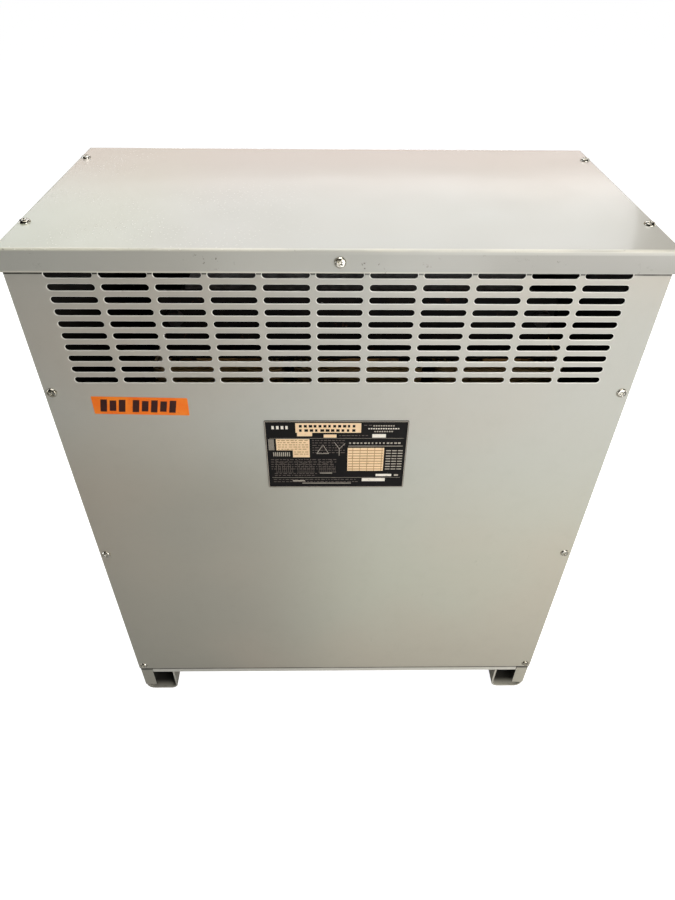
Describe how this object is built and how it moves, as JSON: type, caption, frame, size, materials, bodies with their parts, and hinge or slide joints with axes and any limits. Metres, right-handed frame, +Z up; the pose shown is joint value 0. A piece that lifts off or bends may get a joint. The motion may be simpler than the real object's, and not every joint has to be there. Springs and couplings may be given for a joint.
{
  "type": "ventilated dry-type power transformer",
  "caption": "Three-phase dry-type power transformer in a sheet-steel cabinet with a slotted front, a lipped cover and channel feet.",
  "frame": {"origin": "on the floor at the centre of the footprint", "axes": "+X to the right seen from the front, +Y from front to back, +Z up"},
  "size_m": [0.703, 0.3614, 0.8532],
  "materials": {
    "cabinet_paint": "semi-gloss light grey-beige enamel on sheet steel",
    "zinc_plate": "bright zinc-plated pan-head screws",
    "nameplate_black": "black printed aluminium plate with pale fields and rules",
    "marker_orange": null,
    "core_steel": "stacked silicon-steel laminations under dark varnish",
    "inner_insulation": "varnished insulation paper",
    "outer_insulation": "varnished tan insulation wrap",
    "spacer_board": "pressed insulating board",
    "clamp_paint": "black enamel on formed steel",
    "bolt_steel": "zinc-plated through bolts",
    "pad_rubber": "black rubber vibration pads"
  },
  "bodies": {
    "root": {"top_cover": "cabinet_paint", "front_panel": "cabinet_paint", "back_panel": "cabinet_paint", "left_side_panel": "cabinet_paint", "right_side_panel": "cabinet_paint", "base_rail_front": "cabinet_paint", "base_rail_back": "cabinet_paint", "left_foot": "cabinet_paint", "right_foot": "cabinet_paint", "front_panel_screws": "zinc_plate", "back_panel_screws": "zinc_plate", "cover_screws": "zinc_plate", "nameplate": "nameplate_black", "voltage_marker": "marker_orange", "lower_yoke": "core_steel", "upper_yoke": "core_steel", "core_leg_left": "core_steel", "core_leg_centre": "core_steel", "core_leg_right": "core_steel", "inner_winding_left": "inner_insulation", "inner_winding_centre": "inner_insulation", "inner_winding_right": "inner_insulation", "outer_winding_left": "outer_insulation", "outer_winding_centre": "outer_insulation", "outer_winding_right": "outer_insulation", "lower_spacer_blocks": "spacer_board", "upper_spacer_blocks": "spacer_board", "upper_clamp_front": "clamp_paint", "upper_clamp_back": "clamp_paint", "lower_clamp_front": "clamp_paint", "lower_clamp_back": "clamp_paint", "upper_clamp_bolts": "bolt_steel", "lower_clamp_bolts": "bolt_steel", "support_channel_front": "clamp_paint", "support_channel_back": "clamp_paint", "isolator_pads": "pad_rubber"}
  },
  "joints": []
}
